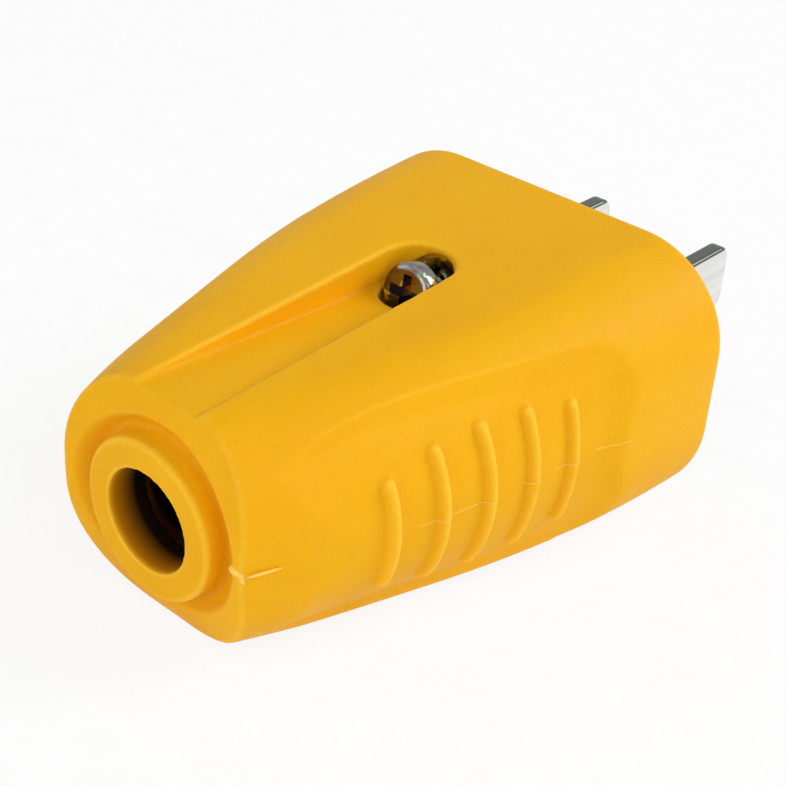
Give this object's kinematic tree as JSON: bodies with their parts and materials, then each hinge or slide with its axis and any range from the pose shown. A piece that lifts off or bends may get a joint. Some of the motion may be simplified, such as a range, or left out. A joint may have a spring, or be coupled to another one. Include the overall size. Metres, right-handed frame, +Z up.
{
  "type": "electrical plug",
  "caption": "Rewirable mains plug with flat blades: a moulded housing with ribbed thumb grips and a cable collar, and a pin carrier with terminals and cord clamp held by a lengthwise screw.",
  "frame": {"origin": "centre of the pin face, on the axis of the cable bore", "axes": "+Y out along the blades, +Z up through the side with the screwdriver channel, +X right seen from the cable end"},
  "size_m": [0.0348, 0.0609, 0.0226],
  "materials": {
    "housing_plastic": "fine moulded grain, half matt yellow",
    "carrier_plastic": "matt black thermoset",
    "blade_metal": "nickel plated, bright flanks and darker cut edges",
    "terminal_brass": "plain brass",
    "zinc_steel": "yellow passivated zinc"
  },
  "bodies": {
    "root": {"housing": "housing_plastic", "pin_carrier": "carrier_plastic", "left_blade": "blade_metal", "right_blade": "blade_metal", "left_terminal_screw": "terminal_brass", "right_terminal_screw": "terminal_brass", "left_clamp_washer": "terminal_brass", "right_clamp_washer": "terminal_brass", "carrier_screw": "zinc_steel", "screw_washer": "zinc_steel", "carrier_nut": "zinc_steel", "cord_saddle": "carrier_plastic", "left_saddle_screw": "zinc_steel", "right_saddle_screw": "zinc_steel"}
  },
  "joints": []
}
